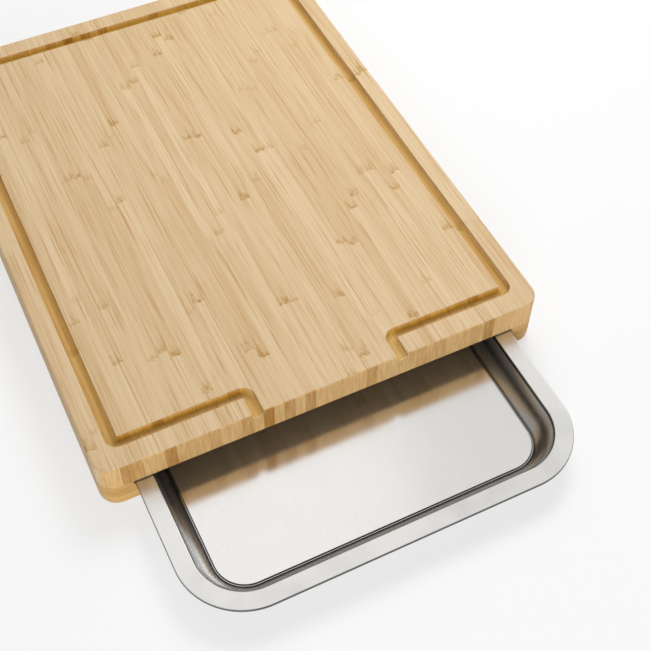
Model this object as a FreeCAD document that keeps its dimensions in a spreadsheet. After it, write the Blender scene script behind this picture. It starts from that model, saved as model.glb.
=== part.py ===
import FreeCAD, Part
import Sketcher
import math
import os

# Bamboo cutting board on side rails, with one stainless steel tray that slides out from under it.
# Millimetres. +X to the right, +Y to the back, +Z up. The tray pulls out towards -Y.
# The origin is under the middle of the whole object, on the surface that it stands on, with the
# tray drawn out by tray_pull.

doc = FreeCAD.newDocument("CuttingBoardWithTray")

# ---------------------------------------------------------------- driving dimensions
sheet = doc.addObject("Spreadsheet::Sheet", "Sizes")

# the board
sheet.set("B1", "300")  # side to side
sheet.setAlias("B1", "board_width")
sheet.set("B2", "390")  # front to back
sheet.setAlias("B2", "board_length")
sheet.set("B3", "19.5")  # cutting slab
sheet.setAlias("B3", "slab_thickness")
sheet.set("B4", "20.5")  # from the table to the underside of the slab
sheet.setAlias("B4", "rail_height")
sheet.set("B5", "12")  # upright corners, seen from above
sheet.setAlias("B5", "corner_radius")
sheet.set("B6", "1.5")  # round along the slab's top edge
sheet.setAlias("B6", "top_edge_radius")
sheet.set("B7", "4")  # round along the rails' bottom edge
sheet.setAlias("B7", "bottom_edge_radius")
sheet.set("B8", "43")  # bamboo strips on edge, glued face to face into the slab
sheet.setAlias("B8", "strip_count")
sheet.set("B9", "4")  # flat bamboo strips glued into the height of a rail
sheet.setAlias("B9", "layer_count")

# the rails under the slab
sheet.set("B10", "31")  # side rail, at its foot
sheet.setAlias("B10", "rail_width")
sheet.set("B11", "25")  # rear rail, front to back
sheet.setAlias("B11", "rear_rail_width")
sheet.set("B12", "11.3")  # step in the rail's top inner edge that carries the tray
sheet.setAlias("B12", "ledge_width")
sheet.set("B13", "3.2")  # from the ledge to the underside of the slab
sheet.setAlias("B13", "slot_height")

# the juice groove, cut with a round-nosed cutter
sheet.set("B14", "7.5")  # across the top
sheet.setAlias("B14", "groove_width")
sheet.set("B15", "5")  # below the cutting surface
sheet.setAlias("B15", "groove_depth")
sheet.set("B16", "12.2")  # from the board's side to the groove
sheet.setAlias("B16", "groove_side_margin")
sheet.set("B17", "14")  # from the board's front or back to the groove
sheet.setAlias("B17", "groove_end_margin")
sheet.set("B18", "0.3")  # inside of each turn
sheet.setAlias("B18", "groove_inner_radius")
sheet.set("B19", "97.6")  # between the middles of the two outlets
sheet.setAlias("B19", "outlet_spacing")

# the steel tray
sheet.set("B20", "0.8")  # stainless steel sheet
sheet.setAlias("B20", "sheet_thickness")
sheet.set("B21", "11.6")  # flat rim, from its outer edge to the opening
sheet.setAlias("B21", "flange_width")
sheet.set("B22", "1.8")  # turned-down edge of the rim
sheet.setAlias("B22", "hem_height")
sheet.set("B23", "0.7")  # round on the outer edge of the rim
sheet.setAlias("B23", "hem_radius")
sheet.set("B24", "17.5")  # from the rim down to the gutter round the floor
sheet.setAlias("B24", "tray_depth")
sheet.set("B25", "10.4")  # from the rim down to the knee in the wall
sheet.setAlias("B25", "knee_drop")
sheet.set("B26", "2.8")  # how far the wall leans in above the knee
sheet.setAlias("B26", "wall_run")
sheet.set("B27", "7.9")  # how far it goes on in from the knee to its foot
sheet.setAlias("B27", "foot_run")
sheet.set("B28", "0.5")  # flat of the gutter
sheet.setAlias("B28", "gutter_width")
sheet.set("B29", "0.9")  # the floor stands this much above the gutter
sheet.setAlias("B29", "step_height")
sheet.set("B30", "0.5")  # how far the step between them leans in
sheet.setAlias("B30", "step_width")
sheet.set("B31", "43")  # outer corners of the rim, seen from above
sheet.setAlias("B31", "tray_corner_radius")
sheet.set("B32", "1.2")  # bend between the rim and the wall
sheet.setAlias("B32", "rim_radius")
sheet.set("B33", "30")  # the wide bend at the knee, inside
sheet.setAlias("B33", "knee_radius")
sheet.set("B34", "0.4")  # tight bends at the wall's foot and the floor's edge, inside
sheet.setAlias("B34", "fold_radius")
sheet.set("B35", "105.7")  # how far the tray is drawn out
sheet.setAlias("B35", "tray_pull")

# clearances of the tray in the board
sheet.set("B36", "1")  # rim to the slot's side
sheet.setAlias("B36", "side_clearance")
sheet.set("B37", "3")  # rim to the rear rail, tray pushed in
sheet.setAlias("B37", "back_clearance")
sheet.set("B38", "0.2")  # underside of the rim to the ledge
sheet.setAlias("B38", "ledge_clearance")

doc.recompute()

# Places worked out from the sizes, as expressions.
HALF_WIDTH = "(Sizes.board_width / 2)"
BOARD_FRONT = "(-(Sizes.board_length - Sizes.tray_pull) / 2)"
SLAB_TOP = "(Sizes.rail_height + Sizes.slab_thickness)"
STRIP_WIDTH = "(Sizes.board_width / Sizes.strip_count)"
LAYER_HEIGHT = "(Sizes.rail_height / Sizes.layer_count)"
LEDGE_HEIGHT = "(Sizes.rail_height - Sizes.slot_height)"
BAY_HALF_WIDTH = f"({HALF_WIDTH} - Sizes.rail_width)"
SLOT_HALF_WIDTH = f"({BAY_HALF_WIDTH} + Sizes.ledge_width)"
BAY_LENGTH = "(Sizes.board_length - Sizes.rear_rail_width)"
GROOVE_RADIUS = "(Sizes.groove_width / 2)"
TRAY_HALF_WIDTH = f"({SLOT_HALF_WIDTH} - Sizes.side_clearance)"
TRAY_LENGTH = f"({BAY_LENGTH} - Sizes.back_clearance)"
WALL_LEAN = "atan(Sizes.wall_run / Sizes.knee_drop)"
FOOT_LEAN = "atan(Sizes.foot_run / (Sizes.tray_depth - Sizes.knee_drop))"
STEP_LEAN = "atan(Sizes.step_width / Sizes.step_height)"


def number(expression):
    """The value that an expression has now."""
    result = sheet.evalExpression(expression)
    return float(getattr(result, "Value", result))


# ---------------------------------------------------------------- drawing helpers
def new_body(label, y, z="0"):
    """An empty body whose own origin stands at the board's middle, y and z along."""
    body = doc.addObject("PartDesign::Body", label)
    body.Label = label
    body.setExpression("Placement.Base.y", y)
    body.setExpression("Placement.Base.z", z)
    return body


def new_sketch(body, name, role, offset="0"):
    """A sketch on one of the body's own planes, moved along that plane's normal."""
    sketch = body.newObject("Sketcher::SketchObject", name)
    plane = [p for p in body.Origin.OriginFeatures if p.Role == role][0]
    sketch.AttachmentSupport = [(plane, "")]
    sketch.MapMode = "FlatFace"
    sketch.setExpression("AttachmentOffset.Base.z", offset)
    return sketch


def constrain(sketch, kind, *items, expression=None):
    """Add a constraint, bound to an expression where it has a value."""
    if expression is None:
        return sketch.addConstraint(Sketcher.Constraint(kind, *items))
    index = sketch.addConstraint(Sketcher.Constraint(kind, *items, number(expression)))
    sketch.setExpression(f"Constraints[{index}]", expression)
    return index


def square_outline(sketch, corners, radius=None, closed=True):
    """Draw straight runs along X and Y through the corners, with a round at each turn.

    corners are pairs of expressions. An open outline keeps its two ends where they are given.
    """
    points = [FreeCAD.Vector(number(x), number(y), 0) for x, y in corners]
    count = len(points)
    cut = number(radius) if radius else 0.0
    run_count = count if closed else count - 1
    runs = []
    for k in range(run_count):
        start, end = points[k], points[(k + 1) % count]
        along = (end - start).normalize()
        first = start if (not closed and k == 0) else start + along * cut
        last = end if (not closed and k == run_count - 1) else end - along * cut
        runs.append(sketch.addGeometry(Part.LineSegment(first, last)))
        level = abs(along.x) > 0.5
        constrain(sketch, "Horizontal" if level else "Vertical", runs[-1])
        kind = "DistanceY" if level else "DistanceX"
        constrain(sketch, kind, -1, 1, runs[-1], 1, expression=corners[k][1 if level else 0])
    arcs = []
    for k in range(count if closed else count - 2):
        before, after = runs[k], runs[(k + 1) % len(runs)]
        if not radius:
            constrain(sketch, "Coincident", before, 2, after, 1)
            continue
        corner = points[(k + 1) % count]
        into = (corner - points[k]).normalize()
        out = (points[(k + 2) % count] - corner).normalize()
        centre = corner - into * cut + out * cut
        left_turn = into.cross(out).z > 0
        start, end = corner - into * cut - centre, corner + out * cut - centre
        if not left_turn:
            start, end = end, start
        angle = math.atan2(start.y, start.x)
        circle = Part.Circle(centre, FreeCAD.Vector(0, 0, 1), cut)
        arc = sketch.addGeometry(Part.ArcOfCircle(circle, angle, angle + math.pi / 2))
        constrain(sketch, "Tangent", before, 2, arc, 1 if left_turn else 2)
        constrain(sketch, "Tangent", arc, 2 if left_turn else 1, after, 1)
        if arcs:
            constrain(sketch, "Equal", arcs[0], arc)
        else:
            constrain(sketch, "Radius", arc, expression=radius)
        arcs.append(arc)
    if not closed:
        for run, end, corner in ((runs[0], 1, corners[0]), (runs[-1], 2, corners[-1])):
            level = abs(sketch.Geometry[run].EndPoint.x - sketch.Geometry[run].StartPoint.x) > 0.5
            kind = "DistanceX" if level else "DistanceY"
            constrain(sketch, kind, -1, 1, run, end, expression=corner[0 if level else 1])


def rectangle(left, right, front, back):
    """The four corners of an upright rectangle, anticlockwise."""
    return [(left, front), (right, front), (right, back), (left, back)]


def pad(body, name, sketch, length, taper=None, down=False):
    feature = body.newObject("PartDesign::Pad", name)
    feature.Profile = sketch
    feature.Reversed = down
    feature.setExpression("Length", length)
    if taper:
        feature.setExpression("TaperAngle", taper)
    doc.recompute()
    return feature


def pocket(body, name, sketch, depth, taper=None, up=False):
    """Cut a pocket, and make sure that it took material away."""
    before = body.Shape.Volume
    feature = body.newObject("PartDesign::Pocket", name)
    feature.Profile = sketch
    feature.Reversed = up
    feature.setExpression("Length", depth)
    if taper:
        feature.setExpression("TaperAngle", taper)
    doc.recompute()
    assert body.Shape.Volume < before - 1, name + " cuts nothing"
    return feature


def fillet(body, name, radius, chosen):
    """Round the edges of the body that the test chosen(edge) picks."""
    base = body.Tip
    names = [f"Edge{i}" for i, edge in enumerate(base.Shape.Edges, 1) if chosen(edge)]
    assert names, name + " has no edges"
    feature = body.newObject("PartDesign::Fillet", name)
    feature.Base = (base, names)
    feature.setExpression("Radius", radius)
    doc.recompute()
    assert "Invalid" not in feature.State, name + " can't be rounded"
    return feature


def lies_at(edge, z):
    """True for an edge that lies level at height z of its body."""
    box = edge.BoundBox
    return abs(box.ZMin - z) < 1e-4 and abs(box.ZMax - z) < 1e-4


# ---------------------------------------------------------------- cutting slab
# One flat slab with rounded corners and a juice groove. It is cut into its glued strips below.
slab = new_body("slab_glue_up", BOARD_FRONT)
outline = new_sketch(slab, "SlabOutline", "XY_Plane", "Sizes.rail_height")
board_corners = rectangle("-" + HALF_WIDTH, HALF_WIDTH, "0", "Sizes.board_length")
square_outline(outline, board_corners, "Sizes.corner_radius")
pad(slab, "SlabPad", outline, "Sizes.slab_thickness")
slab_top = number(SLAB_TOP)
fillet(slab, "SlabTopRound", "Sizes.top_edge_radius", lambda edge: lies_at(edge, slab_top))

# The groove runs round the board and leaves through the front face at two outlets.
OVERCUT = "Sizes.top_edge_radius"
GROOVE_X = f"({HALF_WIDTH} - Sizes.groove_side_margin - {GROOVE_RADIUS})"
GROOVE_FRONT = f"(Sizes.groove_end_margin + {GROOVE_RADIUS})"
GROOVE_BACK = f"(Sizes.board_length - {GROOVE_FRONT})"
OUTLET_X = "(Sizes.outlet_spacing / 2)"
route = new_sketch(slab, "GrooveRoute", "XY_Plane", SLAB_TOP)
route_corners = [
    ("-" + OUTLET_X, "-" + OVERCUT),
    ("-" + OUTLET_X, GROOVE_FRONT),
    ("-" + GROOVE_X, GROOVE_FRONT),
    ("-" + GROOVE_X, GROOVE_BACK),
    (GROOVE_X, GROOVE_BACK),
    (GROOVE_X, GROOVE_FRONT),
    (OUTLET_X, GROOVE_FRONT),
    (OUTLET_X, "-" + OVERCUT),
]
square_outline(route, route_corners, f"{GROOVE_RADIUS} + Sizes.groove_inner_radius", closed=False)

# Its section is a half round with upright sides, drawn on a plane across the route's start.
section = new_sketch(slab, "GrooveSection", "XZ_Plane", OVERCUT)
left = f"(-{OUTLET_X} - {GROOVE_RADIUS})"
right = f"(-{OUTLET_X} + {GROOVE_RADIUS})"
bottom_centre = f"({SLAB_TOP} - Sizes.groove_depth + {GROOVE_RADIUS})"
above = f"({SLAB_TOP} + {OVERCUT})"
corner = [FreeCAD.Vector(number(x), number(z), 0)
          for x, z in ((left, above), (left, bottom_centre), (right, bottom_centre), (right, above))]
centre = FreeCAD.Vector(-number(OUTLET_X), number(bottom_centre), 0)
circle = Part.Circle(centre, FreeCAD.Vector(0, 0, 1), number(GROOVE_RADIUS))
down_side = section.addGeometry(Part.LineSegment(corner[0], corner[1]))
round_nose = section.addGeometry(Part.ArcOfCircle(circle, math.pi, 2 * math.pi))
up_side = section.addGeometry(Part.LineSegment(corner[2], corner[3]))
lid = section.addGeometry(Part.LineSegment(corner[3], corner[0]))
constrain(section, "Vertical", down_side)
constrain(section, "Vertical", up_side)
constrain(section, "Horizontal", lid)
constrain(section, "Tangent", down_side, 2, round_nose, 1)
constrain(section, "Tangent", round_nose, 2, up_side, 1)
constrain(section, "Coincident", up_side, 2, lid, 1)
constrain(section, "Coincident", lid, 2, down_side, 1)
constrain(section, "DistanceX", -1, 1, down_side, 1, expression=left)
constrain(section, "Radius", round_nose, expression=GROOVE_RADIUS)
constrain(section, "DistanceY", -1, 1, round_nose, 3, expression=bottom_centre)
constrain(section, "DistanceY", -1, 1, lid, 1, expression=above)
doc.recompute()

slab_volume = slab.Shape.Volume
groove = slab.newObject("PartDesign::SubtractivePipe", "JuiceGroove")
groove.Profile = section
groove.Spine = (route, [f"Edge{i}" for i in range(1, len(route.Shape.Edges) + 1)])
doc.recompute()
assert slab.Shape.Volume < slab_volume - 1, "the groove cuts nothing"


# ---------------------------------------------------------------- pieces of the finished part
pieces = []


def blank(name, length, width, height, x, y, z):
    """A plain block, placed from the board's front and middle, that one piece is cut out of."""
    block = doc.addObject("Part::Box", name)
    block.setExpression("Length", length)
    block.setExpression("Width", width)
    block.setExpression("Height", height)
    block.setExpression("Placement.Base.x", x)
    block.setExpression("Placement.Base.y", f"{BOARD_FRONT} + {y}")
    block.setExpression("Placement.Base.z", z)
    return block


def piece_of(whole, block, label):
    """The share of a glued whole that lies in one block is a piece with its own label."""
    piece = doc.addObject("Part::Common", label)
    piece.Label = label
    piece.Base = whole
    piece.Tool = block
    pieces.append(piece)
    return piece


# The slab's strips stand on edge, side by side, and run from front to back.
for i in range(int(sheet.strip_count)):
    block = blank(
        f"StripBlank{i + 1:02d}",
        STRIP_WIDTH, "Sizes.board_length", "Sizes.slab_thickness",
        f"-{HALF_WIDTH} + {i} * {STRIP_WIDTH}", "0", "Sizes.rail_height",
    )
    piece_of(slab, block, f"top_strip_{i + 1:02d}")

# ---------------------------------------------------------------- rails under the slab
# Two side rails and a rear rail leave a bay that is open at the front and below. A step in the
# side rails' top inner edge is the ledge that the tray's rim slides on.
rails = new_body("rail_glue_up", BOARD_FRONT)
foot = new_sketch(rails, "RailOutline", "XY_Plane")
square_outline(foot, board_corners, "Sizes.corner_radius")
pad(rails, "RailPad", foot, "Sizes.rail_height")
fillet(rails, "RailBottomRound", "Sizes.bottom_edge_radius", lambda edge: lies_at(edge, 0))

PAST_FRONT = "-Sizes.corner_radius"
bay = new_sketch(rails, "BayOutline", "XY_Plane")
square_outline(bay, rectangle("-" + BAY_HALF_WIDTH, BAY_HALF_WIDTH, PAST_FRONT, BAY_LENGTH))
pocket(rails, "Bay", bay, "Sizes.rail_height", up=True)
slot = new_sketch(rails, "SlotOutline", "XY_Plane", LEDGE_HEIGHT)
square_outline(slot, rectangle("-" + SLOT_HALF_WIDTH, SLOT_HALF_WIDTH, PAST_FRONT, BAY_LENGTH))
pocket(rails, "Slot", slot, "Sizes.slot_height", up=True)

# Each rail is glued up from flat strips. The rear rail fits between the side rails.
RAIL_SPANS = {
    "left_rail": ("Sizes.rail_width", "Sizes.board_length", f"-{HALF_WIDTH}", "0"),
    "right_rail": ("Sizes.rail_width", "Sizes.board_length", BAY_HALF_WIDTH, "0"),
    "rear_rail": (f"2 * {BAY_HALF_WIDTH}", "Sizes.rear_rail_width", f"-{BAY_HALF_WIDTH}", BAY_LENGTH),
}
for rail, (across, along, x, y) in RAIL_SPANS.items():
    for k in range(int(sheet.layer_count)):
        block = blank(
            f"{rail}_blank_{k + 1}", across, along, LAYER_HEIGHT, x, y, f"{k} * {LAYER_HEIGHT}",
        )
        piece_of(rails, block, f"{rail}_layer_{k + 1}")

# ---------------------------------------------------------------- steel tray
# One deep-drawn sheet: a flat rim with a turned-down edge, walls that curve in through a wide
# knee, and a flat floor that a low step lifts out of a narrow gutter.
# Its own origin is at the middle of its front edge, level with the underside of the rim's edge.
tray = new_body(
    "tray", f"{BOARD_FRONT} - Sizes.tray_pull", f"{LEDGE_HEIGHT} + Sizes.ledge_clearance",
)


def tray_outline(name, inset, z):
    """The rim's outline, moved in by inset, at height z of the tray."""
    sketch = new_sketch(tray, name, "XY_Plane", z)
    corners = rectangle(
        f"-{TRAY_HALF_WIDTH} + {inset}", f"{TRAY_HALF_WIDTH} - ({inset})",
        inset, f"{TRAY_LENGTH} - ({inset})",
    )
    square_outline(sketch, corners, f"Sizes.tray_corner_radius - ({inset})")
    return sketch


# The sheet's upper side. An inset is measured from the rim's outer edge, at the height named.
RIM_TOP = "Sizes.hem_height"
KNEE = "(Sizes.hem_height - Sizes.knee_drop)"
KNEE_INSET = "(Sizes.flange_width + Sizes.wall_run)"
GUTTER = "(Sizes.hem_height - Sizes.tray_depth)"
FOOT_INSET = f"({KNEE_INSET} + Sizes.foot_run)"
STEP_INSET = f"({FOOT_INSET} + Sizes.gutter_width)"
FLOOR = f"({GUTTER} + Sizes.step_height)"

# Its underside. The sheet keeps its thickness square to itself, so each fold lies further out.
FOOT_SLOPE = f"(90 deg - {FOOT_LEAN})"
STEP_SLOPE = f"(90 deg - {STEP_LEAN})"
RIM_UNDER = "(Sizes.hem_height - Sizes.sheet_thickness)"
RIM_UNDER_INSET = f"(Sizes.flange_width - Sizes.sheet_thickness * (1 / cos({WALL_LEAN}) - tan({WALL_LEAN})))"
KNEE_SHIFT = (
    f"(Sizes.sheet_thickness * (1 / sin({FOOT_SLOPE}) - 1 / cos({WALL_LEAN}))"
    f" / (1 / tan({FOOT_SLOPE}) - tan({WALL_LEAN})))"
)
KNEE_UNDER = f"({KNEE} - {KNEE_SHIFT})"
KNEE_UNDER_INSET = f"({RIM_UNDER_INSET} + ({RIM_UNDER} - {KNEE_UNDER}) * tan({WALL_LEAN}))"
GUTTER_UNDER = f"({GUTTER} - Sizes.sheet_thickness)"
FOOT_UNDER_INSET = f"({FOOT_INSET} - Sizes.sheet_thickness * tan({FOOT_SLOPE} / 2))"
STEP_UNDER_INSET = f"({STEP_INSET} + Sizes.sheet_thickness * tan({STEP_SLOPE} / 2))"

edge_block = tray_outline("RimEdge", "0", "0")
pad(tray, "RimBlock", edge_block, RIM_TOP)
fillet(tray, "RimEdgeRound", "Sizes.hem_radius", lambda edge: lies_at(edge, number(RIM_TOP)))
under = tray_outline("RimUnderside", "Sizes.sheet_thickness", "0")
pocket(tray, "RimHollow", under, RIM_UNDER, up=True)

wall_outside = tray_outline("WallOutside", RIM_UNDER_INSET, RIM_UNDER)
pad(tray, "WallBlock", wall_outside, f"{RIM_UNDER} - {KNEE_UNDER}", taper=f"-{WALL_LEAN}", down=True)
foot_outside = tray_outline("FootOutside", KNEE_UNDER_INSET, KNEE_UNDER)
pad(tray, "FootBlock", foot_outside, f"{KNEE_UNDER} - {GUTTER_UNDER}", taper=f"-{FOOT_LEAN}", down=True)
wall_inside = tray_outline("WallInside", "Sizes.flange_width", RIM_TOP)
pocket(tray, "UpperBasin", wall_inside, "Sizes.knee_drop", taper=f"-{WALL_LEAN}")
foot_inside = tray_outline("FootInside", KNEE_INSET, KNEE)
pocket(tray, "LowerBasin", foot_inside, "Sizes.tray_depth - Sizes.knee_drop", taper=f"-{FOOT_LEAN}")

raised = tray_outline("FloorOutline", STEP_INSET, GUTTER)
pad(tray, "RaisedFloor", raised, "Sizes.step_height", taper=f"-{STEP_LEAN}")
hollow = tray_outline("FloorUnderside", STEP_UNDER_INSET, GUTTER_UNDER)
pocket(tray, "FloorHollow", hollow, "Sizes.step_height", taper=f"-{STEP_LEAN}", up=True)


def round_fold(name, radius, inset, z):
    """Round the level edges that run round the tray at one inset and height."""
    side, level = number(f"{TRAY_HALF_WIDTH} - {inset}"), number(z)
    front, back = number(inset), number(f"{TRAY_LENGTH} - {inset}")

    def chosen(edge):
        box = edge.BoundBox
        misses = (side - max(-box.XMin, box.XMax), box.YMin - front, back - box.YMax)
        return abs(min(misses)) < 0.01 and lies_at(edge, level)

    fillet(tray, name, radius, chosen)


round_fold("RimBend", "Sizes.rim_radius", "Sizes.flange_width", RIM_TOP)
round_fold("RimBendUnder", "Sizes.rim_radius - Sizes.sheet_thickness", RIM_UNDER_INSET, RIM_UNDER)
round_fold("KneeBend", "Sizes.knee_radius", KNEE_INSET, KNEE)
round_fold("KneeBendUnder", "Sizes.knee_radius + Sizes.sheet_thickness", KNEE_UNDER_INSET, KNEE_UNDER)
round_fold("FootBend", "Sizes.fold_radius", FOOT_INSET, GUTTER)
round_fold("FootBendUnder", "Sizes.fold_radius + Sizes.sheet_thickness", FOOT_UNDER_INSET, GUTTER_UNDER)
round_fold("FloorBend", "Sizes.fold_radius", f"({STEP_INSET} + Sizes.step_width)", FLOOR)
pieces.append(tray)

# ---------------------------------------------------------------- checks and files
doc.recompute()
for item in doc.Objects:
    assert "Invalid" not in item.State and "Error" not in item.State, f"{item.Name}: {item.State}"
for piece in pieces:
    shape = piece.Shape
    assert not shape.isNull() and shape.isValid(), f"{piece.Label} has no valid shape"
    assert len(shape.Solids) == 1, f"{piece.Label} isn't one solid"
for whole in (slab, rails):
    glued = sum(piece.Shape.Volume for piece in pieces if getattr(piece, "Base", None) is whole)
    assert abs(glued / whole.Shape.Volume - 1) < 1e-6, f"the pieces of {whole.Label} don't fill it"

os.makedirs("parts", exist_ok=True)
for piece in pieces:
    piece.Shape.exportStep(f"parts/{piece.Label}.step")
print(len(pieces), "pieces written")
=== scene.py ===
import math

import bpy
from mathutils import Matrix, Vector


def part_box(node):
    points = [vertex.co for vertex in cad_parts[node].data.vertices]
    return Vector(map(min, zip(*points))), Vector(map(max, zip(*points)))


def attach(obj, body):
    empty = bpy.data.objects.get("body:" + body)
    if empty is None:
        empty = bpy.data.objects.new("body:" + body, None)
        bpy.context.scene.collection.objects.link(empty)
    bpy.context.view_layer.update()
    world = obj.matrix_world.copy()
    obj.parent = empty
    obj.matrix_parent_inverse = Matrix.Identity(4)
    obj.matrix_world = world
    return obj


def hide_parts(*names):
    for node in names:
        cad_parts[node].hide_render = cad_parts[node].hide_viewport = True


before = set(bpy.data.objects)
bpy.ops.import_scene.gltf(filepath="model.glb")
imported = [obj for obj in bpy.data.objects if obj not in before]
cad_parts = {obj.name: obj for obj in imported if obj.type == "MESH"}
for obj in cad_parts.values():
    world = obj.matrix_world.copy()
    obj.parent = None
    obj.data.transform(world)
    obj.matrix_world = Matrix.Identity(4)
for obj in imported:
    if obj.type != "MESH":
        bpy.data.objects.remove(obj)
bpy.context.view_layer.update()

# ---------------------------------------------------------------- cutting slab
# The slab is 43 bamboo strips, planed, stood on edge and glued face to face. A round-nosed cutter
# runs the juice groove into it, and it is sanded flush and wiped with oil. The strips' own shapes
# come with the frame; what the wood looks like is made here.
STRIP_WIDTH = 0.300 / 43
SLAB_LEFT = -0.150
SLAB_TOP = 0.040
GROOVE_LIMITS = (0.1385, -0.1412, 0.2345)   # half width, front and back of the grooved field
GROOVE_DEPTH = 0.006            # the groove is nowhere deeper than this
# the groove gets darker with depth: painted shade, together with the oil it drinks
OIL_AND_SHADE_BAND = (0.0035, 0.0003)     # depths where the groove's tint is full, and where it starts
JOINT_SPACING = 0.165           # from one joint of the culm to the next
JOINT_STAGGER = 0.020           # strips from the same culm are shifted by up to this
JOINT_RAGGED = 0.006            # how far a joint's edge wanders

TOP_LIGHT = "#E5CEA8"
TOP_DARK = "#C7A170"
END_LIGHT = "#E0BB82"
END_DARK = "#AC7836"
FIBRE = "#B98D55"
KNUCKLE = "#B0823A"             # the scar at a joint, the glue lines and the dots of the end grain
GROOVE_OIL_AND_SHADE = "#F1E2AE"          # oil and painted shade let this through; the same on end grain
GROOVE_END_OIL_AND_SHADE = "#F9F08A"


def linear(code):
    """The linear colour, with alpha, of an sRGB hex value."""
    parts = [int(code[i:i + 2], 16) / 255 for i in (1, 3, 5)]
    return [c / 12.92 if c < 0.04045 else ((c + 0.055) / 1.055) ** 2.4 for c in parts] + [1.0]


def add(tree, kind, inputs=None, **settings):
    """Add a node. An input takes a value, an output socket, or a node's first output.

    A MapRange reads the range of inputs 1 and 2 and gives that of 3 and 4. A Mix of colours has its
    share at input 0, its colours at inputs 6 and 7, and its result at output 2.
    """
    node = tree.nodes.new("ShaderNode" + kind)
    for name, value in settings.items():
        setattr(node, name, value)
    for key, value in (inputs or {}).items():
        if isinstance(value, bpy.types.Node):
            value = value.outputs[0]
        if isinstance(value, bpy.types.NodeSocket):
            tree.links.new(value, node.inputs[key])
        else:
            node.inputs[key].default_value = value
    return node


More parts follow.
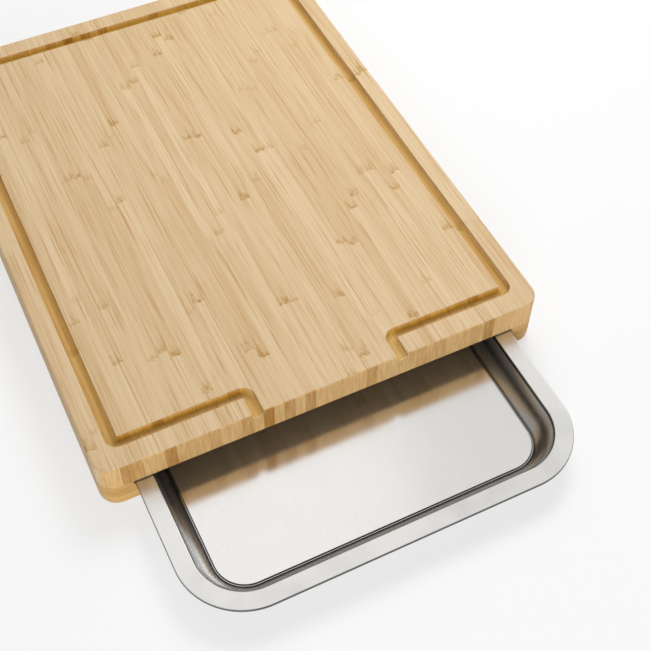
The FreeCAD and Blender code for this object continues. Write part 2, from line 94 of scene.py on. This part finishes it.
def bamboo(name, pitch, start, turn, light, dark, end_light, end_dark, grooved=False):
    """Oiled bamboo in strips of one pitch: once turned, they lie side by side along X, and their
    fibres run along Y.

    Bamboo is pale and low in contrast: straight fibres, a tone of its own for each strip, and a
    brown scar with a change of tone where the culm had a joint. Cut across, it is darker and
    dotted. The oil leaves it a soft, dull sheen.
    """
    material = bpy.data.materials.new(name)
    material.use_nodes = True
    tree = material.node_tree
    tree.nodes.clear()

    place = add(tree, "TexCoord")
    turned = add(tree, "Mapping", {"Vector": place.outputs["Object"], "Rotation": turn})
    facing = add(
        tree, "Mapping", {"Vector": place.outputs["Normal"], "Rotation": turn},
        vector_type="VECTOR",
    )
    at = add(tree, "SeparateXYZ", {0: turned})
    across, along, through = at.outputs

    # which strip, and how far across it
    shifted = add(tree, "Math", {0: across, 1: start}, operation="SUBTRACT")
    count = add(tree, "Math", {0: shifted, 1: pitch}, operation="DIVIDE")
    strip = add(tree, "Math", {0: count}, operation="FLOOR")
    share = add(tree, "Math", {0: count}, operation="FRACT")
    chance = add(tree, "TexWhiteNoise", {"W": strip}, noise_dimensions="1D")

    # the culm's joints, at about the same place in strips from the same culm, with an edge in
    # waves 4 mm long
    pair = add(tree, "Math", {0: strip, 1: 0.62, 2: 0.3}, operation="MULTIPLY_ADD")
    culm = add(tree, "Math", {0: pair}, operation="FLOOR")
    phase = add(tree, "TexWhiteNoise", {"W": culm}, noise_dimensions="1D")
    wavy = add(tree, "TexNoise", {"Vector": turned, "Scale": 260.0, "Detail": 2.0})
    ragged = add(tree, "Math", {0: wavy, 1: JOINT_RAGGED, 2: along}, operation="MULTIPLY_ADD")
    jitter = add(tree, "Math", {0: chance, 1: JOINT_STAGGER, 2: ragged}, operation="MULTIPLY_ADD")
    joints = add(
        tree, "Math", {0: jitter, 1: 1 / JOINT_SPACING, 2: phase}, operation="MULTIPLY_ADD",
    )
    shift = add(tree, "Math", {0: phase, 1: 7.0, 2: joints}, operation="MULTIPLY_ADD")
    length_number = add(tree, "Math", {0: shift}, operation="FLOOR")
    past_joint = add(tree, "Math", {0: shift}, operation="FRACT")
    cell = add(tree, "CombineXYZ", {0: strip, 1: length_number})
    length_chance = add(tree, "TexWhiteNoise", {"Vector": cell}, noise_dimensions="2D")

    # fibres 1.1 mm wide and 60 mm long, coarser than real ones so that they show, and streaks
    # 3.7 mm wide and 130 mm long
    stretched = add(tree, "VectorMath", {0: turned, 1: (900, 17, 300)}, operation="MULTIPLY")
    apart = add(tree, "CombineXYZ", {2: strip})
    own = add(
        tree, "VectorMath", {0: apart, 1: (0, 0, 3.7), 2: stretched}, operation="MULTIPLY_ADD",
    )
    fibres = add(tree, "TexNoise", {"Vector": own, "Scale": 1.0, "Detail": 3.0, "Roughness": 0.55})
    slow = add(tree, "VectorMath", {0: own, 1: (0.30, 0.45, 0.4)}, operation="MULTIPLY")
    streaks = add(tree, "TexNoise", {"Vector": slow, "Scale": 1.0, "Detail": 2.0})
    lines = add(tree, "MapRange", {0: fibres, 1: 0.57, 2: 0.70, 3: 0.0, 4: 0.60})

    # tone of the wood from the strip, its length between joints, the streaks and the fibres
    tone = add(tree, "Math", {0: chance, 1: 0.16}, operation="MULTIPLY")
    tone = add(tree, "Math", {0: length_chance, 1: 0.24, 2: tone}, operation="MULTIPLY_ADD")
    tone = add(tree, "Math", {0: streaks, 1: 0.36, 2: tone}, operation="MULTIPLY_ADD")
    tone = add(tree, "Math", {0: fibres, 1: 0.95, 2: tone}, operation="MULTIPLY_ADD")
    tone = add(tree, "MapRange", {0: tone, 1: 0.38, 2: 1.38, 3: 0.0, 4: 1.0})
    face = add(tree, "Mix", {0: tone, 6: linear(light), 7: linear(dark)}, data_type="RGBA")
    face = add(tree, "Mix", {0: lines, 6: face.outputs[2], 7: linear(FIBRE)}, data_type="RGBA")

    # joint scars: tan flames up to 15 mm long and 2.2 mm wide, two or three to a strip, that end
    # sharply at the joint and are broken up by specks of 2 by 5 mm
    narrow = add(tree, "VectorMath", {0: own, 1: (0.50, 0.20, 1.0)}, operation="MULTIPLY")
    flames = add(tree, "TexNoise", {"Vector": narrow, "Scale": 1.0, "Detail": 1.0})
    reach = add(tree, "MapRange", {0: flames, 1: 0.35, 2: 0.66, 3: 0.020, 4: 0.090})
    patch = add(
        tree, "MapRange", {0: past_joint, 1: 0.012, 2: reach, 3: 1.0, 4: 0.0},
        interpolation_type="SMOOTHSTEP",
    )
    speckle = add(tree, "VectorMath", {0: own, 1: (0.60, 12.0, 1.0)}, operation="MULTIPLY")
    specks = add(tree, "TexNoise", {"Vector": speckle, "Scale": 1.0, "Detail": 2.0})
    broken = add(tree, "MapRange", {0: specks, 1: 0.38, 2: 0.62, 3: 0.20, 4: 1.0})
    strong = add(tree, "MapRange", {0: length_chance, 1: 0.0, 2: 1.0, 3: 0.10, 4: 0.80})
    scar = add(tree, "Math", {0: patch, 1: broken}, operation="MULTIPLY")
    scar = add(tree, "Math", {0: scar, 1: strong}, operation="MULTIPLY")
    face = add(tree, "Mix", {0: scar, 6: face.outputs[2], 7: linear(KNUCKLE)}, data_type="RGBA")

    # glue lines that fade out over a twentieth of a strip to each side, dark at some strips only
    edge = add(tree, "Math", {0: share, 1: 0.5}, operation="PINGPONG")
    glue = add(tree, "MapRange", {0: edge, 1: 0.0, 2: 0.05, 3: 1.0, 4: 0.0})
    nearest = add(tree, "Math", {0: count}, operation="ROUND")
    glue_chance = add(tree, "TexWhiteNoise", {"W": nearest}, noise_dimensions="1D")
    glue_strong = add(tree, "MapRange", {0: glue_chance, 1: 0.3, 2: 1.0, 3: 0.0, 4: 0.5})
    glue = add(tree, "Math", {0: glue, 1: glue_strong}, operation="MULTIPLY")
    face = add(tree, "Mix", {0: glue, 6: face.outputs[2], 7: linear(KNUCKLE)}, data_type="RGBA")

    # end grain: fibre bundles 0.9 mm across, coarser than real ones so that they show, in rows
    # 1.2 mm apart that run from face to face
    flat = add(tree, "CombineXYZ", {0: across, 1: through, 2: strip})
    rows = add(tree, "VectorMath", {0: flat, 1: (820, 70, 3.7)}, operation="MULTIPLY")
    rows = add(tree, "TexNoise", {"Vector": rows, "Scale": 1.0, "Detail": 2.0})
    end_tone = add(tree, "Math", {0: chance, 1: 3.5}, operation="POWER")
    end_tone = add(tree, "Math", {0: end_tone, 1: 0.85}, operation="MULTIPLY")
    end_tone = add(tree, "Math", {0: rows, 1: 1.2, 2: end_tone}, operation="MULTIPLY_ADD")
    end_tone = add(tree, "MapRange", {0: end_tone, 1: 0.42, 2: 1.42})
    end = add(
        tree, "Mix", {0: end_tone, 6: linear(end_light), 7: linear(end_dark)}, data_type="RGBA",
    )
    dots = add(tree, "TexVoronoi", {"Vector": flat, "Scale": 1100.0})
    dotted = add(tree, "MapRange", {0: dots, 1: 0.0, 2: 0.55, 3: 0.35, 4: 0.0})
    end = add(tree, "Mix", {0: dotted, 6: end.outputs[2], 7: linear(KNUCKLE)}, data_type="RGBA")
    end_glue = add(tree, "Math", {0: glue, 1: 2.0}, operation="MULTIPLY", use_clamp=True)
    end = add(tree, "Mix", {0: end_glue, 6: end.outputs[2], 7: linear(KNUCKLE)}, data_type="RGBA")
    normal = add(tree, "SeparateXYZ", {0: facing})
    end_on = add(tree, "Math", {0: normal.outputs[1]}, operation="ABSOLUTE")
    end_on = add(tree, "MapRange", {0: end_on, 1: 0.45, 2: 0.80}, interpolation_type="SMOOTHSTEP")
    wood = add(tree, "Mix", {0: end_on, 6: face.outputs[2], 7: end.outputs[2]}, data_type="RGBA")

    if grooved:
        # the cutter leaves the groove open-grained, and it drinks more oil
        # shade is painted in as well: the deeper in the groove, the darker
        half_width, front, back = GROOVE_LIMITS
        sideways = add(tree, "Math", {0: across}, operation="ABSOLUTE")
        inside = add(tree, "Math", {0: sideways, 1: half_width}, operation="LESS_THAN")
        behind = add(tree, "Math", {0: along, 1: front}, operation="GREATER_THAN")
        before = add(tree, "Math", {0: along, 1: back}, operation="LESS_THAN")
        above = add(
            tree, "Math", {0: through, 1: SLAB_TOP - GROOVE_DEPTH}, operation="GREATER_THAN",
        )
        full, starts = (SLAB_TOP - depth for depth in OIL_AND_SHADE_BAND)
        sunk = add(tree, "MapRange", {0: through, 1: full, 2: starts, 3: 1.0, 4: 0.0})
        oil_and_shade_mask = add(tree, "Math", {0: inside, 1: behind}, operation="MULTIPLY")
        oil_and_shade_mask = add(tree, "Math", {0: oil_and_shade_mask, 1: before}, operation="MULTIPLY")
        oil_and_shade_mask = add(tree, "Math", {0: oil_and_shade_mask, 1: above}, operation="MULTIPLY")
        oil_and_shade_mask = add(tree, "Math", {0: oil_and_shade_mask, 1: sunk}, operation="MULTIPLY")
        oil_and_shade_tint = add(
            tree, "Mix", {0: end_on, 6: linear(GROOVE_OIL_AND_SHADE), 7: linear(GROOVE_END_OIL_AND_SHADE)},
            data_type="RGBA",
        )
        wood = add(
            tree, "Mix", {0: oil_and_shade_mask, 6: wood.outputs[2], 7: oil_and_shade_tint.outputs[2]},
            data_type="RGBA", blend_type="MULTIPLY",
        )

    rough = add(tree, "MapRange", {0: fibres, 1: 0.3, 2: 0.7, 3: 0.44, 4: 0.60})
    bump = add(tree, "Bump", {"Height": fibres, "Strength": 0.5, "Distance": 0.00006})
    shader = add(tree, "BsdfPrincipled", {
        "Base Color": wood.outputs[2], "Roughness": rough, "Normal": bump, "IOR": 1.5,
        "Specular IOR Level": 0.2,
    })
    add(tree, "OutputMaterial", {"Surface": shader})
    return material


top_bamboo = bamboo(
    "oiled_bamboo_on_edge", STRIP_WIDTH, SLAB_LEFT, (0, 0, 0),
    TOP_LIGHT, TOP_DARK, END_LIGHT, END_DARK, grooved=True,
)
for name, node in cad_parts.items():
    if name.startswith("top_strip"):
        node.material_slots[0].material = top_bamboo

# ---------------------------------------------------------------- rails under the slab
# The two side rails and the rear rail are bamboo strips laid flat and glued up four deep, a little
# darker than the top. They are glued to the slab's underside, and a step in them carries the tray.
LAYER_HEIGHT = 0.0205 / 4
TABLE_HEIGHT = 0.0              # the lowest layer starts here
UPRIGHT = math.radians(90)
RAIL_LIGHT = "#DDBB84"
RAIL_DARK = "#C0935A"
RAIL_END_LIGHT = "#D9B070"
RAIL_END_DARK = "#BE9050"

side_bamboo = bamboo(
    "oiled_bamboo_laid_flat", LAYER_HEIGHT, TABLE_HEIGHT, (0, UPRIGHT, 0),
    RAIL_LIGHT, RAIL_DARK, RAIL_END_LIGHT, RAIL_END_DARK,
)
rear_bamboo = bamboo(
    "oiled_bamboo_laid_across", LAYER_HEIGHT, TABLE_HEIGHT, (UPRIGHT, 0, UPRIGHT),
    RAIL_LIGHT, RAIL_DARK, RAIL_END_LIGHT, RAIL_END_DARK,
)
for name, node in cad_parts.items():
    if "rail_layer" in name:
        node.material_slots[0].material = rear_bamboo if name.startswith("rear") else side_bamboo

# ---------------------------------------------------------------- steel tray
# The tray is deep drawn from one sheet of satin-ground stainless steel. It has a flat rim with a
# turned-down edge, walls that lean in and a flat floor, and hangs by its rim on the rails' ledges.
SHEET = 0.0008
FLANGE = 0.0116                 # width of the rim
HEM = 0.0018                    # how far the rim's edge is turned down
KNEE_DROP = 0.0104              # from the rim down to the knee in the wall
WALL_RUN = 0.0028               # how far the wall leans in above the knee
TRAY_DEPTH = 0.0175             # from the rim down to the gutter round the floor
FOOT_RUN = 0.0079               # how far the wall goes on in, from the knee to its foot
GUTTER = 0.0005                 # flat bottom of the gutter
STEP_HEIGHT = 0.0009            # the floor stands this much above the gutter
STEP_WIDTH = 0.0005
HEM_RADIUS = 0.0007
RIM_RADIUS = 0.0012
KNEE_RADIUS = 0.030
FOLD_RADIUS = 0.0004
CORNER_RADIUS = 0.043
CORNER_STEPS = 24
BEND_STEPS = 8
SUPPORT = 0.00005               # rings this close to a bend keep the flats beside it flat
SHARP = math.radians(40)        # edges sharper than this stay sharp

# the folds of the sheet's upper side: distance in from the rim's edge, height and radius
knee = (FLANGE + WALL_RUN, HEM - KNEE_DROP)
foot = (knee[0] + FOOT_RUN, HEM - TRAY_DEPTH)
step = (foot[0] + GUTTER, foot[1])
floor_edge = (step[0] + STEP_WIDTH, step[1] + STEP_HEIGHT)
folds = [
    ((0, 0), 0),
    ((0, HEM), HEM_RADIUS),
    ((FLANGE, HEM), RIM_RADIUS),
    (knee, KNEE_RADIUS),
    (foot, FOLD_RADIUS),
    (step, FOLD_RADIUS),
    (floor_edge, FOLD_RADIUS),
    ((floor_edge[0] + STEP_WIDTH, floor_edge[1]), 0),
]
section = [Vector(folds[0][0])]
for (before, _), (here, radius), (after, _) in zip(folds, folds[1:], folds[2:]):
    here = Vector(here)
    back = (Vector(before) - here).normalized()
    ahead = (Vector(after) - here).normalized()
    half = back.angle(ahead) / 2
    start = here + back * radius / math.tan(half)
    end = here + ahead * radius / math.tan(half)
    centre = here + (back + ahead).normalized() * radius / math.sin(half)
    section.append(start + back * SUPPORT)
    out_to_start = (start - centre).normalized()
    out_to_end = (end - centre).normalized()
    for k in range(BEND_STEPS + 1):
        section.append(centre + radius * out_to_start.slerp(out_to_end, k / BEND_STEPS))
    section.append(end + ahead * SUPPORT)
section.append(Vector(folds[-1][0]))

low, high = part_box("tray")
rim_underside = high[2] - HEM
bpy.ops.object.select_all(action="DESELECT")
bpy.ops.mesh.primitive_plane_add(size=1, location=(0, (low[1] + high[1]) / 2, rim_underside))
tray = bpy.context.object
tray.name = "tray_sheet"
tray.scale = (high[0] - low[0], high[1] - low[1], 1)
bpy.ops.object.transform_apply(location=True, rotation=True, scale=True)
bpy.ops.object.mode_set(mode="EDIT")
bpy.ops.mesh.select_mode(type="VERT")
bpy.ops.mesh.select_all(action="SELECT")
bpy.ops.mesh.bevel(offset=CORNER_RADIUS, segments=CORNER_STEPS, affect="VERTICES")
bpy.ops.mesh.select_mode(type="FACE")
bpy.ops.mesh.select_all(action="SELECT")
for here, after in zip(section, section[1:]):
    bpy.ops.mesh.inset(thickness=after.x - here.x, depth=after.y - here.y, use_boundary=True)
bpy.ops.object.mode_set(mode="OBJECT")
thickness = tray.modifiers.new("sheet", "SOLIDIFY")
thickness.thickness = SHEET
thickness.offset = -1
thickness.use_even_offset = True
bpy.ops.object.modifier_apply(modifier="sheet")
bpy.ops.object.shade_smooth_by_angle(angle=SHARP)

# Satin stainless: a fine grind blurs what the floor and the rim mirror, and the drawn walls, where
# the wheel doesn't reach, are duller and a touch blue, but brighter just under the rim. Handling
# has dulled patches of the rim. In the gutter, at the wall's foot and knee and at the turned edge,
# where the sheet bends, shade is painted darker into the colour.
STEEL = "#DBD9D6"
STEEL_LOW = "#D1CFCC"           # the bottoms of the scratches
RIM_DULL = "#B4B3B2"
WALL_STEEL = "#AFB4B9"
WALL_HIGH = "#DFE1E3"           # the wall just under the rim
# the colour of the shade painted into the bends
FOLD_SHADE = "#45433F"
GUTTER_BAND = (0.0017, 0.0022)  # heights from the table between which each of these changes
FOOT_BAND = (0.0024, 0.0036)
WALL_BAND = (0.0095, 0.0165)
RIM_BAND = (0.015, 0.018)
TURNED_EDGE_BAND = (0.0167, 0.0172)
KNEE_HEIGHT = 0.0100
KNEE_REACH = 0.0034             # the knee's shade fades out this far above and below it

steel = bpy.data.materials.new("satin_stainless_steel")
steel.use_nodes = True
tree = steel.node_tree
tree.nodes.clear()
place = add(tree, "TexCoord")
at = add(tree, "SeparateXYZ", {0: place.outputs["Object"]})
height = at.outputs[2]
facing = add(tree, "SeparateXYZ", {0: place.outputs["Normal"]})
upward = facing.outputs[2]
drawn = add(tree, "MapRange", {0: upward, 1: 0.35, 2: 0.97, 3: 1.0, 4: 0.0})
steep = add(tree, "MapRange", {0: upward, 1: 0.60, 2: 0.97, 3: 1.0, 4: 0.0})
leaning = add(tree, "MapRange", {0: upward, 1: 0.80, 2: 0.95, 3: 1.0, 4: 0.0})
topside = add(tree, "MapRange", {0: upward, 1: -0.50, 2: -0.25})
rim = add(tree, "MapRange", {0: height, 1: RIM_BAND[0], 2: RIM_BAND[1]})

# scratches 0.7 mm wide and 7 mm long, coarser than the real grind so that they show, and patches
# 40 mm across where it is more worn
grind = add(
    tree, "VectorMath", {0: place.outputs["Object"], 1: (1500, 140, 900)}, operation="MULTIPLY",
)
scratches = add(tree, "TexNoise", {"Vector": grind, "Scale": 1.0, "Detail": 3.0, "Roughness": 0.6})
cloud = add(tree, "TexNoise", {"Vector": place.outputs["Object"], "Scale": 24.0, "Detail": 2.0})
worn = add(tree, "MapRange", {0: cloud, 1: 0.3, 2: 0.7, 3: 0.12, 4: 0.17})
rough = add(tree, "Math", {0: scratches, 1: 0.05, 2: worn}, operation="MULTIPLY_ADD")
duller = add(tree, "Math", {0: drawn, 1: rim}, operation="MAXIMUM")
rough = add(tree, "Math", {0: duller, 1: 0.14, 2: rough}, operation="MULTIPLY_ADD")

# the colour of the ground flats, with the handled patches of the rim, and that of the drawn walls
colour = add(tree, "Mix", {0: scratches, 6: linear(STEEL_LOW), 7: linear(STEEL)}, data_type="RGBA")
handled = add(tree, "MapRange", {0: cloud, 1: 0.46, 2: 0.68, 3: 0.0, 4: 0.40})
handled = add(tree, "Math", {0: handled, 1: rim}, operation="MULTIPLY")
colour = add(tree, "Mix", {0: handled, 6: colour.outputs[2], 7: linear(RIM_DULL)}, data_type="RGBA")
up_wall = add(tree, "MapRange", {0: height, 1: WALL_BAND[0], 2: WALL_BAND[1]})
wall = add(tree, "Mix", {0: up_wall, 6: linear(WALL_STEEL), 7: linear(WALL_HIGH)}, data_type="RGBA")
colour = add(tree, "Mix", {0: drawn, 6: colour.outputs[2], 7: wall.outputs[2]}, data_type="RGBA")

# the painted shade in each fold, on the sheet's upper side only
gutter_shade = add(tree, "MapRange", {0: height, 1: GUTTER_BAND[0], 2: GUTTER_BAND[1], 3: 0.50, 4: 0.0})
foot_shade = add(tree, "MapRange", {0: height, 1: FOOT_BAND[0], 2: FOOT_BAND[1], 3: 0.85, 4: 0.0})
foot_shade = add(tree, "Math", {0: foot_shade, 1: leaning}, operation="MULTIPLY")
off_knee = add(tree, "Math", {0: height, 1: KNEE_HEIGHT}, operation="SUBTRACT")
off_knee = add(tree, "Math", {0: off_knee}, operation="ABSOLUTE")
knee_shade = add(
    tree, "MapRange", {0: off_knee, 1: 0.0, 2: KNEE_REACH, 3: 0.45, 4: 0.0},
    interpolation_type="SMOOTHSTEP",
)
knee_shade = add(tree, "Math", {0: knee_shade, 1: leaning}, operation="MULTIPLY")
turned_edge_shade = add(
    tree, "MapRange",
    {0: height, 1: TURNED_EDGE_BAND[0], 2: TURNED_EDGE_BAND[1], 3: 0.0, 4: 0.90},
)
turned_edge_shade = add(tree, "Math", {0: turned_edge_shade, 1: steep}, operation="MULTIPLY")
painted_fold_shade = add(tree, "Math", {0: gutter_shade, 1: turned_edge_shade}, operation="MAXIMUM")
painted_fold_shade = add(tree, "Math", {0: painted_fold_shade, 1: foot_shade}, operation="MAXIMUM")
painted_fold_shade = add(tree, "Math", {0: painted_fold_shade, 1: knee_shade}, operation="MAXIMUM")
painted_fold_shade = add(tree, "Math", {0: painted_fold_shade, 1: topside}, operation="MULTIPLY")
colour = add(tree, "Mix", {0: painted_fold_shade, 6: colour.outputs[2], 7: linear(FOLD_SHADE)}, data_type="RGBA")
bump = add(tree, "Bump", {"Height": scratches, "Strength": 0.15, "Distance": 0.00002})
shader = add(tree, "BsdfPrincipled", {
    "Base Color": colour.outputs[2], "Metallic": 0.97, "Roughness": rough, "Normal": bump,
})
add(tree, "OutputMaterial", {"Surface": shader})
tray.data.materials.append(steel)
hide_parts("tray")
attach(tray, "tray")

# ---------------------------------------------------------------- table, light and camera
# The board stands on a plain white table in a white studio. A soft lamp hangs over it to the right
# and the back, so that walls that face left are in shade, and one in front of it, on the left and
# further off, lights its front.
TABLE_SIZE = 8
TABLE_WHITE = "#F2F2F2"
WHITE = "#FFFFFF"
TABLE_FADE = (0.40, 1.60)       # from this far out to this far, the table turns to plain white
TABLE_SHOWN = 0.62              # share of plain white in the table close by

bpy.ops.object.select_all(action="DESELECT")
bpy.ops.mesh.primitive_plane_add(size=TABLE_SIZE, location=(0, 0, 0))
table = bpy.context.object
table.name = "table"
paper = bpy.data.materials.new("white_paper")
paper.use_nodes = True
tree = paper.node_tree
tree.nodes.clear()
path = add(tree, "LightPath")
seen = add(
    tree, "Math", {0: path.outputs["Is Camera Ray"], 1: path.outputs["Is Glossy Ray"]},
    operation="MAXIMUM",
)
seen = add(tree, "Math", {0: seen, 1: path.outputs["Is Transmission Ray"]}, operation="MAXIMUM")
place = add(tree, "TexCoord")
away = add(tree, "VectorMath", {0: place.outputs["Object"]}, operation="LENGTH")
whiter = add(tree, "MapRange", {
    0: away.outputs["Value"], 1: TABLE_FADE[0], 2: TABLE_FADE[1], 3: TABLE_SHOWN, 4: 1.0,
})
seen = add(tree, "Math", {0: seen, 1: whiter}, operation="MULTIPLY")
diffuse = add(tree, "BsdfDiffuse", {"Color": linear(TABLE_WHITE)})
glow = add(tree, "Emission", {"Color": linear(WHITE), "Strength": 1.0})
mixed = add(tree, "MixShader", {0: seen, 1: diffuse, 2: glow})
add(tree, "OutputMaterial", {"Surface": mixed})
table.data.materials.append(paper)

# The room is seen white, and lights the board with a dim dome and one wide soft light.
DOME = (0.14, 0.24)                  # strength of the dome at the horizon and high up
SOFTBOX = (0.0583, 0.6666, 0.7431)   # direction of the wide soft light behind the board
SOFTBOX_EDGE = (0.80, 0.965)         # cosines from that direction: its outer edge, its full part
SOFTBOX_STRENGTH = 0.80

world = bpy.data.worlds.new("studio")
bpy.context.scene.world = world
world.use_nodes = True
tree = world.node_tree
tree.nodes.clear()
path = add(tree, "LightPath")
place = add(tree, "TexCoord")
up = add(tree, "SeparateXYZ", {0: place.outputs["Generated"]})
dome = add(tree, "MapRange", {0: up.outputs[2], 1: 0.0, 2: 0.8, 3: DOME[0], 4: DOME[1]})
toward = add(
    tree, "VectorMath", {0: place.outputs["Generated"], 1: SOFTBOX}, operation="DOT_PRODUCT",
)
near = add(tree, "MapRange", {
    0: toward.outputs["Value"], 1: SOFTBOX_EDGE[0], 2: SOFTBOX_EDGE[1], 3: 0.0, 4: SOFTBOX_STRENGTH,
})
strength = add(tree, "Math", {0: dome, 1: near}, operation="ADD")
seen = add(
    tree, "Math", {0: path.outputs["Is Camera Ray"], 1: path.outputs["Is Glossy Ray"]},
    operation="MAXIMUM",
)
seen = add(tree, "Math", {0: seen, 1: path.outputs["Is Transmission Ray"]}, operation="MAXIMUM")
shown = add(tree, "Mix", {0: seen, 2: strength, 3: 1.0})
light = add(tree, "Background", {"Color": linear(WHITE), "Strength": shown.outputs[0]})
add(tree, "OutputWorld", {"Surface": light})

lamps = {                            # place, width and power in watts
    "key": ((0.42, 0.36, 0.84), 0.5, 6.0),
    "front": ((-0.45, -1.5, 0.6), 0.8, 16.0),
}
for name, (location, width, power) in lamps.items():
    bpy.ops.object.light_add(type="AREA", location=location)
    lamp = bpy.context.object
    lamp.name = name
    lamp.data.shape = "SQUARE"
    lamp.data.size = width
    lamp.data.energy = power
    lamp.rotation_euler = (-lamp.location).to_track_quat("-Z", "Y").to_euler()
    lamp.visible_camera = False
    lamp.visible_glossy = False

# Cards that are seen only in reflections. A black strip low round the set, and grey cards on the
# left and behind the camera, put the dark edges in the steel's bends. A pale one hangs at the back,
# and a bright one on the right lights up the tray's left wall and its right rim.
CARD_STRIP_HEIGHT = 0.3
cards = {                            # strength, place, and width or radius
    "left_card": (0.42, (-1.30, 0.85, 0.80), 1.2),
    "right_card": (2.8, (1.30, 0.83, 0.70), 1.0),
    "camera_card": (0.36, (0.30, -1.70, 1.60), 2.4),
    "back_card": (1.30, (0.14, 0.60, 1.83), 0.9),
    "low_card": (0.02, (0, 0, 0.15), 1.5),
}
for name, (strength, location, size) in cards.items():
    if name == "low_card":
        bpy.ops.mesh.primitive_cylinder_add(
            radius=size, depth=CARD_STRIP_HEIGHT, location=location, end_fill_type="NOTHING",
        )
    else:
        bpy.ops.mesh.primitive_plane_add(size=size, location=location)
        bpy.context.object.rotation_euler = Vector(location).to_track_quat("Z", "Y").to_euler()
    card = bpy.context.object
    card.name = name
    material = bpy.data.materials.new(name)
    material.use_nodes = True
    tree = material.node_tree
    tree.nodes.clear()
    glow = add(tree, "Emission", {"Strength": strength})
    add(tree, "OutputMaterial", {"Surface": glow})
    card.data.materials.append(material)
    card.visible_camera = False
    card.visible_diffuse = False
    card.visible_transmission = False
    card.visible_shadow = False

# The camera looks down from the front left, with the board's back left corner out of view.
bpy.ops.object.camera_add(location=(-0.18336, -0.50382, 0.63674))
camera = bpy.context.object
camera.rotation_euler = [math.radians(angle) for angle in (37.0048, -0.2885, -25.9148)]
camera.data.sensor_width = 36
camera.data.lens = 65.67
camera.data.clip_start = 0.01
bpy.context.scene.camera = camera
bpy.context.scene.view_settings.view_transform = "Standard"
